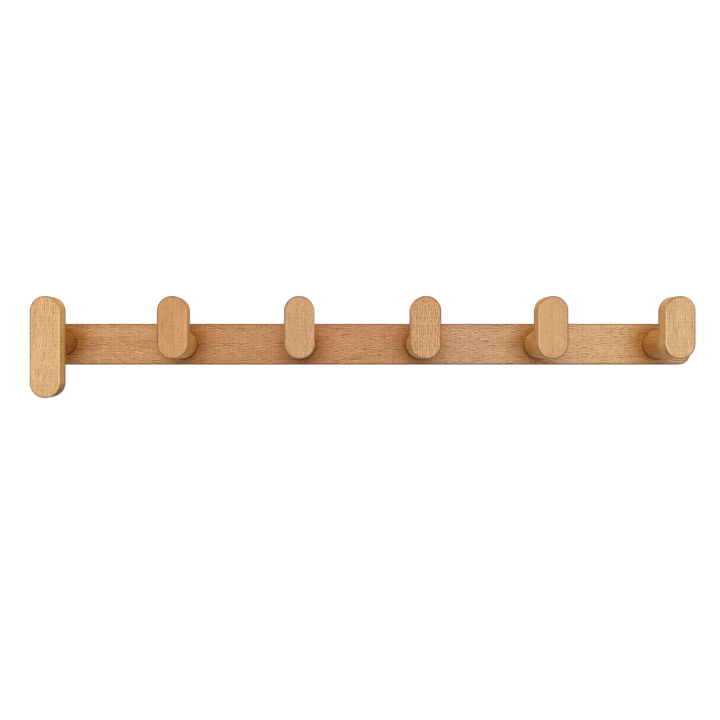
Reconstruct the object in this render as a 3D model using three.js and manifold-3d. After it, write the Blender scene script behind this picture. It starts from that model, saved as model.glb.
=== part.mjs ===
// Wall hook rack in beech: a long board with six hooks, each one a round post with a
// round-ended plate on its front end. The first hook has a long plate and a thinner post.
// Every hook is held from behind by a screw, and its plate by a dowel. The rack hangs on
// two keyhole plates let into the back of the board.
//
// Millimetres. +X runs along the board, +Z is up, and the front of the rack faces -Y.
// The origin is the centre of the board's back face, which lies on the wall.

import * as THREE from 'three';
import { mergeVertices } from 'three/addons/utils/BufferGeometryUtils.js';
import Module from 'manifold-3d';

const wasm = await Module();
wasm.setup();

// Driving dimensions -------------------------------------------------------------------

const BOARD_LENGTH = 700;
const BOARD_HEIGHT = 43.5;
const BOARD_THICKNESS = 15;
const BOARD_CORNER_RADIUS = 12.5;
const BOARD_EDGE_RADIUS = 1.5;

const HOOK_COUNT = 6;
const HOOK_PITCH = 125.5;

const PLATE_WIDTH = 30;
const PLATE_THICKNESS = 15;
const PLATE_EDGE_RADIUS = 1.2;
const PLATE_TOP = 47.5; // above the board's centre line, the same on every hook
const SHORT_PLATE_LENGTH = 62.5;
const LONG_PLATE_LENGTH = 101;

const POST_LENGTH = 32; // clear space between board and plate
const SHORT_POST_DIAMETER = PLATE_WIDTH; // flush with the lower end of the short plate
const LONG_POST_DIAMETER = 25;
const LONG_POST_RAISE = 2; // above the board's centre line

const DOWEL_DIAMETER = 8;
const DOWEL_LENGTH = 20;
const DOWEL_DEPTH_IN_PLATE = 11;
const DOWEL_CHAMFER = 0.8;

const CLEARANCE = 0.3; // between a piece and the hole that holds it

// Countersunk cross-recess wood screws. Head cones are 90 degrees. Each turn of the thread is a
// ridge: it leaves the root at one share of the pitch and is highest at another.
const THREAD_FOOT = 0.05;
const THREAD_CREST = 0.5;
const TIP_SHOULDER = 0.8; // the tip's widest radius, as a share of the root's
const PILOT_SPARE_DEPTH = 1; // below the tip of a hanger screw
const HOOK_SCREW = {
  length: 35,
  diameter: 4.5,
  root: 3.2,
  headDiameter: 8.8,
  headRim: 0.4,
  sunk: 0.3,
  shank: 8,
  pitch: 2.8,
  tip: 4,
  recessWidth: 5,
  recessSlot: 1.1,
  recessDepth: 2.2,
};
const HANGER_SCREW = {
  length: 12,
  diameter: 3,
  root: 2.1,
  headDiameter: 5.4,
  headRim: 0.2,
  sunk: 0.1,
  shank: 1.9,
  pitch: 1.6,
  tip: 2.2,
  recessWidth: 3.2,
  recessSlot: 0.8,
  recessDepth: 1.2,
};

const HANGER_SPACING = 500;
const HANGER_LENGTH = 46;
const HANGER_HEIGHT = 20;
const HANGER_THICKNESS = 1.5;
const HANGER_SUNK = 0.2; // below the board's back face
const HANGER_SCREW_SPACING = 34;
const KEYHOLE_ENTRY_DIAMETER = 9;
const KEYHOLE_SLOT_WIDTH = 4.5;
const KEYHOLE_ENTRY_DROP = 3.5; // entry centre below the plate's centre
const KEYHOLE_SLOT_RISE = 5; // slot end's centre above the plate's centre
const KEYHOLE_POCKET_MARGIN = 1; // room round the keyhole in the wood behind it
const KEYHOLE_POCKET_DEPTH = 7;

// Smoothness: segments on a quarter turn of an outline, and round a whole turned piece.
const BOARD_CORNER_SEGMENTS = 8;
const PLATE_QUARTER_SEGMENTS = 10;
const EDGE_SEGMENTS = 2;
const POST_SEGMENTS = 36;
const DOWEL_SEGMENTS = 16;
const SCREW_SEGMENTS = 12;
const HOLE_SEGMENTS = 20;

const MERGE_DISTANCE = 1e-4; // points nearer than this are one point
const END_ROUND_SHORT = 0.01; // what a hanger's end radius falls short of a full half round

const CUT_PAST = 1; // how far a cutting solid runs past the face that it opens

// Materials ----------------------------------------------------------------------------

function boardBeech() {
  return new THREE.MeshStandardMaterial({ color: 0xc4956a, roughness: 0.55, metalness: 0 });
}

function plateBeech() {
  return new THREE.MeshStandardMaterial({ color: 0xd6a979, roughness: 0.55, metalness: 0 });
}

function postBeech() {
  return new THREE.MeshStandardMaterial({ color: 0xb9854d, roughness: 0.5, metalness: 0 });
}

function dowelBeech() {
  return new THREE.MeshStandardMaterial({ color: 0xd9b98c, roughness: 0.7, metalness: 0 });
}

function zincSteel() {
  return new THREE.MeshStandardMaterial({ color: 0xb9bcc0, roughness: 0.35, metalness: 1 });
}

function screwSteel() {
  return new THREE.MeshStandardMaterial({ color: 0xc9b26a, roughness: 0.4, metalness: 1 });
}

// Solids -------------------------------------------------------------------------------

function solidOf(geometry) {
  const bare = geometry.clone();
  bare.deleteAttribute('normal');
  bare.deleteAttribute('uv');
  const merged = mergeVertices(bare, MERGE_DISTANCE);
  return new wasm.Manifold(new wasm.Mesh({
    numProp: 3,
    vertProperties: merged.attributes.position.array,
    triVerts: new Uint32Array(merged.index.array),
  }));
}

function geometryOf(solid) {
  const mesh = solid.getMesh();
  const geometry = new THREE.BufferGeometry();
  geometry.setAttribute('position', new THREE.BufferAttribute(mesh.vertProperties, 3));
  geometry.setIndex(new THREE.BufferAttribute(mesh.triVerts, 1));
  geometry.computeVertexNormals();
  return geometry;
}

// Extrudes an outline drawn in x and z from y = back to y = back - depth.
function slab(shape, back, depth, edgeRadius, curveSegments) {
  const geometry = new THREE.ExtrudeGeometry(shape, {
    depth: depth - 2 * edgeRadius,
    curveSegments,
    bevelEnabled: edgeRadius > 0,
    bevelThickness: edgeRadius,
    bevelSize: edgeRadius,
    bevelOffset: -edgeRadius,
    bevelSegments: EDGE_SEGMENTS,
  });
  geometry.translate(0, 0, edgeRadius);
  geometry.rotateX(Math.PI / 2);
  geometry.translate(0, back, 0);
  return geometry;
}

// Turns a profile of [radius, y] points about the y axis.
function turned(profile, segments) {
  const points = profile.map(([radius, y]) => new THREE.Vector2(radius, y));
  return new THREE.LatheGeometry(points, segments);
}

function roundedRectangle(length, height, radius) {
  const x = length / 2 - radius;
  const z = height / 2 - radius;
  const shape = new THREE.Shape();
  shape.absarc(x, z, radius, 0, Math.PI / 2, false);
  shape.absarc(-x, z, radius, Math.PI / 2, Math.PI, false);
  shape.absarc(-x, -z, radius, Math.PI, 1.5 * Math.PI, false);
  shape.absarc(x, -z, radius, 1.5 * Math.PI, 2 * Math.PI, false);
  shape.closePath();
  return shape;
}

// A straight-sided outline with a half round at its top and at its bottom.
function uprightStadium(width, bottom, top) {
  const radius = width / 2;
  const shape = new THREE.Shape();
  shape.absarc(0, top - radius, radius, 0, Math.PI, false);
  shape.absarc(0, bottom + radius, radius, Math.PI, 2 * Math.PI, false);
  shape.closePath();
  return shape;
}

// Screws -------------------------------------------------------------------------------

// The screw's axis is y, its head is at y = 0 less the sunk depth, and its tip points to -y.
function screwGeometry(screw) {
  const rootRadius = screw.root / 2;
  const crestRadius = screw.diameter / 2;
  const headRadius = screw.headDiameter / 2;
  const headFace = -screw.sunk;
  const coneStart = headFace - screw.headRim;
  const coneEnd = coneStart - (headRadius - rootRadius);
  const threadStart = coneEnd - screw.shank;
  const tipEnd = headFace - screw.length;
  const threadEnd = tipEnd + screw.tip;
  const turns = Math.floor((threadStart - threadEnd) / screw.pitch);
  const profile = [[0, tipEnd], [rootRadius * TIP_SHOULDER, threadEnd]];
  for (let turn = turns; turn > 0; turn -= 1) {
    const start = threadStart - turn * screw.pitch;
    profile.push([rootRadius, start + THREAD_FOOT * screw.pitch]);
    profile.push([crestRadius, start + THREAD_CREST * screw.pitch]);
  }
  profile.push([rootRadius, threadStart]);
  profile.push([rootRadius, coneEnd]);
  profile.push([headRadius, coneStart]);
  profile.push([headRadius, headFace]);
  profile.push([0, headFace]);
  const body = solidOf(turned(profile, SCREW_SEGMENTS));
  const slotLong = new THREE.BoxGeometry(screw.recessWidth, 2 * screw.recessDepth, screw.recessSlot);
  const slotWide = new THREE.BoxGeometry(screw.recessSlot, 2 * screw.recessDepth, screw.recessWidth);
  slotLong.translate(0, headFace, 0);
  slotWide.translate(0, headFace, 0);
  return geometryOf(body.subtract(solidOf(slotLong)).subtract(solidOf(slotWide)));
}

// The room that a screw needs in the piece it is sunk into: a cone, then a plain hole down to
// the given depth. It starts above the face, so that a cut with it opens the face.
function screwHole(screw, depth) {
  const holeRadius = screw.diameter / 2 + CLEARANCE;
  const mouthRadius = screw.headDiameter / 2 + CLEARANCE;
  const coneStart = -screw.sunk - screw.headRim;
  const profile = [
    [0, -depth],
    [holeRadius, -depth],
    [holeRadius, coneStart - (mouthRadius - holeRadius)],
    [mouthRadius, coneStart],
    [mouthRadius, CUT_PAST],
    [0, CUT_PAST],
  ];
  return solidOf(turned(profile, HOLE_SEGMENTS));
}

// Board --------------------------------------------------------------------------------

function hookX(index) {
  return (index - (HOOK_COUNT - 1) / 2) * HOOK_PITCH;
}

function hookZ(index) {
  return index === 0 ? LONG_POST_RAISE : 0;
}

function keyholeOutline(margin) {
  const entryRadius = KEYHOLE_ENTRY_DIAMETER / 2 + margin;
  const slotRadius = KEYHOLE_SLOT_WIDTH / 2 + margin;
  const meet = Math.acos(slotRadius / entryRadius);
  const shape = new THREE.Shape();
  shape.absarc(0, KEYHOLE_SLOT_RISE, slotRadius, 0, Math.PI, false);
  shape.absarc(0, -KEYHOLE_ENTRY_DROP, entryRadius, Math.PI - meet, 2 * Math.PI + meet, false);
  shape.closePath();
  return shape;
}

// The wood behind a keyhole is cut as wide as the entry all the way up, for the head of the
// wall screw to rise in.
function keyholePocket() {
  const width = KEYHOLE_ENTRY_DIAMETER + 2 * KEYHOLE_POCKET_MARGIN;
  const bottom = -KEYHOLE_ENTRY_DROP - width / 2;
  const top = KEYHOLE_SLOT_RISE + width / 2;
  const shape = uprightStadium(width, bottom, top);
  return solidOf(slab(shape, CUT_PAST, KEYHOLE_POCKET_DEPTH + CUT_PAST, 0, HOLE_SEGMENTS / 4));
}

function hangerRecess() {
  const shape = roundedRectangle(
    HANGER_LENGTH + 2 * CLEARANCE,
    HANGER_HEIGHT + 2 * CLEARANCE,
    HANGER_HEIGHT / 2 + CLEARANCE - END_ROUND_SHORT,
  );
  const depth = HANGER_SUNK + HANGER_THICKNESS;
  return solidOf(slab(shape, CUT_PAST, depth + CUT_PAST, 0, HOLE_SEGMENTS / 4));
}

function pilotHole() {
  const radius = HANGER_SCREW.diameter / 2 + CLEARANCE;
  const depth = HANGER_SUNK + HANGER_SCREW.length + PILOT_SPARE_DEPTH;
  return solidOf(turned([[0, -depth], [radius, -depth], [radius, 0], [0, 0]], SCREW_SEGMENTS));
}

function boardGeometry() {
  const outline = roundedRectangle(BOARD_LENGTH, BOARD_HEIGHT, BOARD_CORNER_RADIUS);
  let solid = solidOf(slab(outline, 0, BOARD_THICKNESS, BOARD_EDGE_RADIUS, BOARD_CORNER_SEGMENTS / 2));
  const hole = screwHole(HOOK_SCREW, BOARD_THICKNESS + CUT_PAST);
  for (let index = 0; index < HOOK_COUNT; index += 1) {
    solid = solid.subtract(hole.translate([hookX(index), 0, hookZ(index)]));
  }
  const recess = hangerRecess();
  const pocket = keyholePocket();
  const pilot = pilotHole();
  for (const side of [-1, 1]) {
    const x = side * HANGER_SPACING / 2;
    solid = solid.subtract(recess.translate([x, 0, 0]));
    solid = solid.subtract(pocket.translate([x, 0, 0]));
    for (const end of [-1, 1]) {
      solid = solid.subtract(pilot.translate([x + end * HANGER_SCREW_SPACING / 2, 0, 0]));
    }
  }
  return geometryOf(solid);
}

// Hooks, in a frame whose y = 0 is the board's front face ----------------------------------

const PLATE_BACK = -POST_LENGTH;
const DOWEL_FRONT = PLATE_BACK - DOWEL_DEPTH_IN_PLATE;
const DOWEL_BACK = DOWEL_FRONT + DOWEL_LENGTH;

function dowelHole() {
  const radius = DOWEL_DIAMETER / 2 + CLEARANCE;
  const front = DOWEL_FRONT - CLEARANCE;
  const back = PLATE_BACK + CUT_PAST;
  return solidOf(turned([[0, front], [radius, front], [radius, back], [0, back]], DOWEL_SEGMENTS));
}

// Rounded on its front edges only: its back meets the post, so it is cut square. The slab is
// made twice as thick, with both its faces rounded, and halved.
function plateGeometry(length, centreZ) {
  const top = PLATE_TOP - centreZ;
  const outline = uprightStadium(PLATE_WIDTH, top - length, top);
  const back = PLATE_BACK + PLATE_THICKNESS;
  const double = slab(outline, back, 2 * PLATE_THICKNESS, PLATE_EDGE_RADIUS, PLATE_QUARTER_SEGMENTS);
  const rear = new THREE.BoxGeometry(2 * PLATE_WIDTH, 2 * PLATE_THICKNESS, 4 * length);
  rear.translate(0, PLATE_BACK + PLATE_THICKNESS, 0);
  return geometryOf(solidOf(double).subtract(solidOf(rear)).subtract(dowelHole()));
}

// Turned, with the dowel's hole in its front end and the screw's in its back end.
function postGeometry(diameter) {
  const radius = diameter / 2;
  const dowelRadius = DOWEL_DIAMETER / 2 + CLEARANCE;
  const dowelDepth = DOWEL_BACK + CLEARANCE;
  const screwRadius = HOOK_SCREW.diameter / 2 + CLEARANCE;
  const screwDepth = BOARD_THICKNESS - HOOK_SCREW.sunk - HOOK_SCREW.length - CLEARANCE;
  const profile = [
    [0, dowelDepth],
    [dowelRadius, dowelDepth],
    [dowelRadius, PLATE_BACK],
    [radius, PLATE_BACK],
    [radius, 0],
    [screwRadius, 0],
    [screwRadius, screwDepth],
    [0, screwDepth],
  ];
  return turned(profile, POST_SEGMENTS);
}

function dowelGeometry() {
  const radius = DOWEL_DIAMETER / 2;
  const profile = [
    [0, DOWEL_FRONT],
    [radius - DOWEL_CHAMFER, DOWEL_FRONT],
    [radius, DOWEL_FRONT + DOWEL_CHAMFER],
    [radius, DOWEL_BACK - DOWEL_CHAMFER],
    [radius - DOWEL_CHAMFER, DOWEL_BACK],
    [0, DOWEL_BACK],
  ];
  return turned(profile, DOWEL_SEGMENTS);
}

function named(name, geometry, material) {
  const mesh = new THREE.Mesh(geometry, material);
  mesh.name = name;
  return mesh;
}

function hook(index) {
  const isLong = index === 0;
  const name = `hook_${index + 1}`;
  const centreZ = hookZ(index);
  const plateLength = isLong ? LONG_PLATE_LENGTH : SHORT_PLATE_LENGTH;
  const postDiameter = isLong ? LONG_POST_DIAMETER : SHORT_POST_DIAMETER;
  const group = new THREE.Group();
  group.position.set(hookX(index), -BOARD_THICKNESS, centreZ);
  group.add(named(`${name}_plate`, plateGeometry(plateLength, centreZ), plateBeech()));
  group.add(named(`${name}_post`, postGeometry(postDiameter), postBeech()));
  group.add(named(`${name}_dowel`, dowelGeometry(), dowelBeech()));
  const screw = named(`${name}_screw`, screwGeometry(HOOK_SCREW), screwSteel());
  screw.position.y = BOARD_THICKNESS;
  group.add(screw);
  return group;
}

// Keyhole hangers, in a frame whose y = 0 is the hanger plate's outer face ------------------

function hangerPlateGeometry() {
  const outline = roundedRectangle(HANGER_LENGTH, HANGER_HEIGHT, HANGER_HEIGHT / 2 - END_ROUND_SHORT);
  outline.holes.push(keyholeOutline(0));
  let solid = solidOf(slab(outline, 0, HANGER_THICKNESS, 0, HOLE_SEGMENTS / 4));
  const hole = screwHole(HANGER_SCREW, HANGER_THICKNESS + CUT_PAST);
  for (const end of [-1, 1]) {
    solid = solid.subtract(hole.translate([end * HANGER_SCREW_SPACING / 2, 0, 0]));
  }
  return geometryOf(solid);
}

function hanger(name, x) {
  const group = new THREE.Group();
  group.position.set(x, -HANGER_SUNK, 0);
  group.add(named(`${name}_hanger_plate`, hangerPlateGeometry(), zincSteel()));
  for (const end of [-1, 1]) {
    const number = end < 0 ? 1 : 2;
    const screw = named(`${name}_hanger_screw_${number}`, screwGeometry(HANGER_SCREW), screwSteel());
    screw.position.x = end * HANGER_SCREW_SPACING / 2;
    group.add(screw);
  }
  return group;
}

// The rack -----------------------------------------------------------------------------

const rack = new THREE.Group();
rack.name = 'wall_hook_rack';
rack.add(named('board', boardGeometry(), boardBeech()));
for (let index = 0; index < HOOK_COUNT; index += 1) {
  rack.add(hook(index));
}
rack.add(hanger('left', -HANGER_SPACING / 2));
rack.add(hanger('right', HANGER_SPACING / 2));

export default rack;
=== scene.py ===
"""The looks of the beech wall hook rack.

Every CAD node is stood for by a finer piece, built here to the node's own box: the wooden
pieces with rounded edges and a solid beech grain, the screws with real threads, the hangers
with their keyholes. Metres; +X along the board, the front faces -Y, +Z up.
"""

import math
import random

import bmesh
import bpy
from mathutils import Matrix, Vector


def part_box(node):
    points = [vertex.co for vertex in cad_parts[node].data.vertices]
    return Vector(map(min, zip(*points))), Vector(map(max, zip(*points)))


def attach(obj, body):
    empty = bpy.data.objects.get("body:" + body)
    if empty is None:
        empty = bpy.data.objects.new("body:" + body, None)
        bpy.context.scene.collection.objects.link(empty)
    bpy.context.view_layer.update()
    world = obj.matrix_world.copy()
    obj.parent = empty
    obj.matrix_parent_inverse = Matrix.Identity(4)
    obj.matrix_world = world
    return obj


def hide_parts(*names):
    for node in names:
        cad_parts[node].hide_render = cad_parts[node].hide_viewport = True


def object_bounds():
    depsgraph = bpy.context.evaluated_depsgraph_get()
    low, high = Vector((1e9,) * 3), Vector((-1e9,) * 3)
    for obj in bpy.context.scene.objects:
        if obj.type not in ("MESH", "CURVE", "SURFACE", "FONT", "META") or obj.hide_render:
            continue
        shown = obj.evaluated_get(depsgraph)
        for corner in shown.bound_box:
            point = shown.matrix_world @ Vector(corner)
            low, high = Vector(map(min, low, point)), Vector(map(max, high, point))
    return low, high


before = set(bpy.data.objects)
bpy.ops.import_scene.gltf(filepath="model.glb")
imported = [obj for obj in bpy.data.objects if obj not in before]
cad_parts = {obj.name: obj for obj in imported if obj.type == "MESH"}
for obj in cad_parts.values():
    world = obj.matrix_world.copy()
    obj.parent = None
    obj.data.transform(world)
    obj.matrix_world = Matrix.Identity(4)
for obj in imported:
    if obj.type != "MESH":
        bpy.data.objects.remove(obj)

CAD_LOW, CAD_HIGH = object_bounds()

MM = 0.001

HOOK_COUNT = sum(name.endswith("_post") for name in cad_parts)
HOOKS = range(1, HOOK_COUNT + 1)
LONG_HOOK = 1
SIDES = ("left", "right")
HANGER_SCREWS = (1, 2)

X, Y, Z = Vector((1, 0, 0)), Vector((0, 1, 0)), Vector((0, 0, 1))

# Rounded edges, which are finer than the CAD model.
BOARD_EDGE = 1.5 * MM
BOARD_CORNER = 12.5 * MM
PLATE_EDGE = 1.2 * MM
PLATE_BACK_EDGE = 0.9 * MM
SEAM = 0.2 * MM  # what is eased off both edges where a plate meets its post
SEAM_MARGIN = 0.5 * MM  # how far past its post a plate's back edge starts to grow
SEAM_GROWTH = 4.0 * MM  # over what distance it then grows to its full size
POST_FOOT = 0.4 * MM  # what is eased off a post's edge where it meets the board
POST_SUPPORT = 4.0 * MM  # where a ring keeps the foot's rounding out of the side's shading
HEAD_EDGE = 0.08 * MM  # on a screw's head
HANGER_EDGE = 0.25 * MM
DOWEL_CHAMFER = 0.8 * MM
DOWEL_FLUTE_DEPTH = 0.25 * MM
DOWEL_FLUTES = 18

# How finely curves are drawn.
EDGE_STEPS = 6
HANGER_EDGE_STEPS = 3
HALF_ROUND_STEPS = 64
KEYHOLE_STEPS = 24
CORNER_STEPS = 24
TURNED_STEPS = 128
SCREW_STEPS = 48
THREAD_ROWS = 10  # for each turn of a thread
HOLE_STEPS = 64
PILOT_STEPS = 32
FLUTE_STEPS = 8
SHARP_ANGLE = math.radians(40)

# Holes, and the cutters that make them.
CLEARANCE = 0.3 * MM  # between a piece and the hole that holds it
THREAD_ROOM = 0.35 * MM  # between a screw's thread and its hole
PILOT_SPARE = 1.0 * MM  # how far a pilot hole goes on past its screw's tip
CUT_PAST = 2.0 * MM  # how far a cutter reaches past the face that it cuts
ARC_GAP = 0.01 * MM  # keeps the arcs of a fully round end from sharing a point

# Keyholes, from the record's notes on the two hangers.
KEYHOLE_ENTRY = 9.0 * MM
KEYHOLE_SLOT = 4.5 * MM
KEYHOLE_DROP = 3.5 * MM
KEYHOLE_RISE = 5.0 * MM
KEYHOLE_ROOM = 1.0 * MM
KEYHOLE_DEPTH = 7.0 * MM

# Screws, in millimetres: the diameter of the thread's root, the head's straight rim, the plain
# shank, the thread's pitch, the pointed tip, and the length, width and depth of the cross
# recess's slots.
SCREWS = {
    "hook": {"root": 3.2, "head_rim": 0.4, "shank": 8.0, "pitch": 2.8, "tip": 4.0,
             "recess": 5.0, "slot": 1.1, "recess_depth": 2.2},
    "hanger": {"root": 2.1, "head_rim": 0.2, "shank": 1.9, "pitch": 1.6, "tip": 2.2,
               "recess": 3.2, "slot": 0.8, "recess_depth": 1.2},
}
THREAD_CREST = 1.38  # a thread's crest, as a share of its root
THREAD_SHARPNESS = 3.4  # at 2 the ridge would fill its whole pitch
TIP_BLUNTNESS = 0.06  # the radius at the very tip, as a share of the root's
TIP_THREAD_RISE = 1.6  # how soon the ridge is at full height, counted from the tip
RECESS_TAPER = 0.45  # a slot's length at its foot, as a share of its length at the top
SLOT_TAPER = 0.8  # and its width

# Edge shades, which darken the edges partly for wear and partly as painted shade, and pale them
# as a painted highlight: 1 is darkest, 0 is plain wood and -1 is palest. A shade above 1 stays
# darkest for a stretch before it fades.
BOARD_EDGE_SHADE = 1.0
BOARD_EDGE_FADE = 1.4 * MM
BOARD_FACE_SHADE = 0.3
BOARD_SIDE_SHADE = 0.15
PLATE_EDGE_FADE = 0.6 * MM
PLATE_BACK_SHADE = 1.0
PLATE_BACK_FADE = 4.5 * MM
PLATE_FRONT_SHADE = 0.65
PLATE_FRONT_GLEAM = 0.4  # how much paler the front edge is on the side towards the middle
GLEAM_FULL = 0.15  # how far from the middle a plate has all of that gleam, in metres
GLEAM_FOCUS = 1.5  # above 1, the gleam keeps to where the edge faces the middle squarely
# Painted shade where a plate's front edge and the long plate's lower end face down, away from the
# light above.
PLATE_UNDER_SHADE = 1.4  # the dark line under a plate, along its front edge
PLATE_UNDER_FADE = 2.0 * MM
PLATE_UNDER_RINGS = 3  # how many rings of the front edge that line covers
LONG_PLATE_UNDER_SHADE = 1.4  # how dark the rest of the long plate's lower end is
# Painted contact shadow on the rounding of a post's foot, where it meets the board.
POST_FOOT_PAINTED_SHADOW = 1.0

# The colours painted on the edges: one tone for wear and for painted shade, and a painted highlight.
WORN_AND_SHADED_SHARES = (0.6, 0.5, 0.4)  # the worn tone, as shares of the wood's dark tone
GLEAM_TONE = (1.0, 0.72, 0.42, 1)

# Painted shade: the board's wood is darkened round the foot of each post, where the plates and posts
# shade it.
PAINTED_SHADE_REACH = 26 * MM
PAINTED_SHADE_TONE = (0.72, 0.52, 0.23)
PAINTED_SHADE_SHIFT = 0.02  # how far it is drawn in, as a share of the post's distance from the middle

# Painted contact shadow: a thin dark line on the board where a post meets it, strongest below the
# post, as the light falls from above.
CONTACT_SHADOW_WIDTH = 2.2 * MM
CONTACT_SHADOW_TONE = (0.16, 0.06, 0.015)
CONTACT_SHADOW_HEIGHTS = (-6 * MM, 10 * MM)  # it is strongest below the first and faintest above the second
CONTACT_SHADOW_ABOVE = 0.25

# Where a piece comes from in its tree, in millimetres: how far it is from the pith, how much
# that place varies along, across and through the trunk, and how askew the piece was sawn.
BOARD_PITH = 46.0
PLATE_PITH = 38.0
ROUND_WOOD_PITH = 30.0
TREE_SPREAD = (900, 14, 8)
LEAN = (0.03, 0.02)

# Each piece's place in its tree is drawn with its own seed.
BOARD_SEED = 11
PLATE_SEED = 100
POST_SEED = 200
DOWEL_SEED = 300

# The wood's features, as how many there are to a millimetre along, across and through it.
RIPPLE_SIDEWAYS = (0.16, 0.16)
WIDE_RIPPLE = (0.014, 0.03, 0.03)
CLOUDS = (0.02, 0.07, 0.07)
STREAKS = (0.05, 0.4, 0.4)
FIBRES = (0.3, 3.5, 3.5)
PORES = (0.5, 8.0, 8.0)
YEARS = 0.3

# How often the figure's lines waver and break off, as shares of how often a line comes round.
WAVERS_SIDEWAYS = 0.3
BREAKS_ALONG = 0.9
BREAKS_SIDEWAYS = 0.8
BREAK_END_FULL = (0.36, 0.6)  # where a line comes back and where it is full again
BREAK_FAINT = 0.15  # how much of the line is left in a break

# Where a feature starts to show and where it is full, on the scale of its noise.
PORE_START_FULL = (0.60, 0.72)
LATE_WOOD_START_FULL = (0.4, 0.97)
RAY_FULL_END = (0.2, 0.5)
RAY_DEPTH = 2.0  # a ray's size through the wood, as a multiple of its width
DARK_RAY_START_FULL = (0.5, 0.7)
PALE_RAY_FULL_END = (0.3, 0.5)

# How squarely a surface faces a direction, as a cosine, at a feature's start and in full.
END_GRAIN_FACING = (0.35, 1.0)
SIDE_FACING = (0.3, 0.8)
GLEAM_FACING = (0.4, 0.7)
FRONT_FACING = (0.2, 0.9)

# How strongly each feature shows.
RIPPLE_STRENGTH = 4.0
WIDE_RIPPLE_STRENGTH = 12.0
CLOUD_STRENGTH = 0.35
STREAK_STRENGTH = 0.3
FIBRE_STRENGTH = 0.5
YEAR_STRENGTH = 0.1
PORE_STRENGTH = 0.3
END_GRAIN_STRENGTH = 0.4
PALE_RAY_SHARE = 0.8  # of the dark rays' strength
RAY_PULL = 0.24  # how much the dark rays gather in the figure's dark lines
MEAN_TONE = 0.54  # the tone between the features: 0 is dark, 0.5 middle and 1 pale

# How rough the wood is, and the height of its features as shares of the relief's depth.
WOOD_ROUGHNESS = 0.6
STREAK_ROUGHNESS = 0.25
PORE_ROUGHNESS = 0.12
RELIEF_DEPTH = 0.08 * MM
RELIEF_STRENGTH = 0.4
FIBRE_RELIEF = 0.5
LINE_RELIEF = 0.1
PORE_RELIEF = 0.6
RAY_RELIEF = 0.5

# Plated steel: its features, as how many there are to a millimetre, and how strongly they show.
MOTTLE = (0.9, 0.9, 0.9)
ROLLING_LINES = (0.3, 9.0, 9.0)
SPECKS = (5.0, 5.0, 5.0)
SPECK_START_FULL = (0.62, 0.74)
STAIN_END_START = (0.35, 0.65)
MOTTLE_SHARE = 0.7  # of the tone; the rolling lines have the rest
SPECK_STRENGTH = 0.35
TONE_ROUGHNESS = 0.2
SPECK_ROUGHNESS = 0.15
ROLLING_DEPTH = 0.03 * MM
ROLLING_STRENGTH = 0.2


# Mesh building -------------------------------------------------------------------------


def link(name, mesh):
    piece = bpy.data.objects.new(name, mesh)
    bpy.context.scene.collection.objects.link(piece)
    return piece


def loft(name, rings, shades=None):
    """A closed body through rings of equally many points. Its first and last ring are capped.
    shades has each ring's edge shade: one number, or a list with a number for each point."""
    bm = bmesh.new()
    edge = bm.verts.layers.float.new("edge")
    made = []
    for ring, shade in zip(rings, shades or [0.0] * len(rings)):
        verts = [bm.verts.new(point) for point in ring]
        for i, vert in enumerate(verts):
            vert[edge] = shade[i] if isinstance(shade, list) else shade
        made.append(verts)
    for low, high in zip(made, made[1:]):
        for i in range(len(low)):
            j = (i + 1) % len(low)
            bm.faces.new((low[i], low[j], high[j], high[i]))
    bm.faces.new(made[0])
    bm.faces.new(made[-1])
    bmesh.ops.recalc_face_normals(bm, faces=bm.faces)
    mesh = bpy.data.meshes.new(name)
    bm.to_mesh(mesh)
    bm.free()
    return link(name, mesh)


def smooth(piece):
    """Smooth shading that keeps sharp edges sharp and flat faces flat."""
    piece.data.shade_smooth()
    piece.data.set_sharp_from_angle(angle=SHARP_ANGLE)
    weighted = piece.modifiers.new("flat faces stay flat", "WEIGHTED_NORMAL")
    weighted.keep_sharp = True


def cut(piece, cutters):
    """Cuts the cutters out of the piece, and removes them."""
    for cutter in cutters:
        step = piece.modifiers.new("cut", "BOOLEAN")
        step.operation = "DIFFERENCE"
        step.solver = "EXACT"
        step.object = cutter
    depsgraph = bpy.context.evaluated_depsgraph_get()
    made = bpy.data.meshes.new_from_object(piece.evaluated_get(depsgraph), depsgraph=depsgraph)
    made.name = piece.name
    piece.modifiers.clear()
    piece.data = made
    for cutter in cutters:
        bpy.data.objects.remove(cutter)


def smooth_step(share):
    """A rise from 0 to 1 with soft ends, held between them."""
    share = min(1.0, max(0.0, share))
    return share * share * (3 - 2 * share)


def quarter(steps):
    """Pairs (inset, depth) on a unit round-over, from the flat face to the side."""
    angles = [math.pi / 2 * i / steps for i in range(steps + 1)]
    return [(1 - math.sin(a), 1 - math.cos(a)) for a in angles]


def upright_stadium(width, bottom, top, steps=HALF_ROUND_STEPS):
    """Points (x, z) of a straight-sided outline with half-round ends, centred on x = 0."""
    radius = width / 2
    points = []
    for centre, start in ((top - radius, 0), (bottom + radius, math.pi)):
        for i in range(steps + 1):
            angle = start + math.pi * i / steps
            points.append((radius * math.cos(angle), centre + radius * math.sin(angle)))
    return points


def rounded_rectangle(length, height, corner, inset=0.0):
    """Points (x, z) of a rectangle with round corners, centred on the origin."""
    points = []
    reach = corner - inset
    for turn, (sx, sz) in enumerate(((1, 1), (-1, 1), (-1, -1), (1, -1))):
        for i in range(CORNER_STEPS + 1):
            angle = math.pi / 2 * (turn + i / CORNER_STEPS)
            points.append((
                sx * (length / 2 - corner) + reach * math.cos(angle),
                sz * (height / 2 - corner) + reach * math.sin(angle),
            ))
    return points


def circle(radius, steps):
    angles = [2 * math.pi * i / steps for i in range(steps)]
    return [(radius * math.cos(a), radius * math.sin(a)) for a in angles]


def at(outline, x, y, z):
    """An outline of (x, z) points as a ring in the plane y."""
    return [(x + px, y, z + pz) for px, pz in outline]


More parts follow.
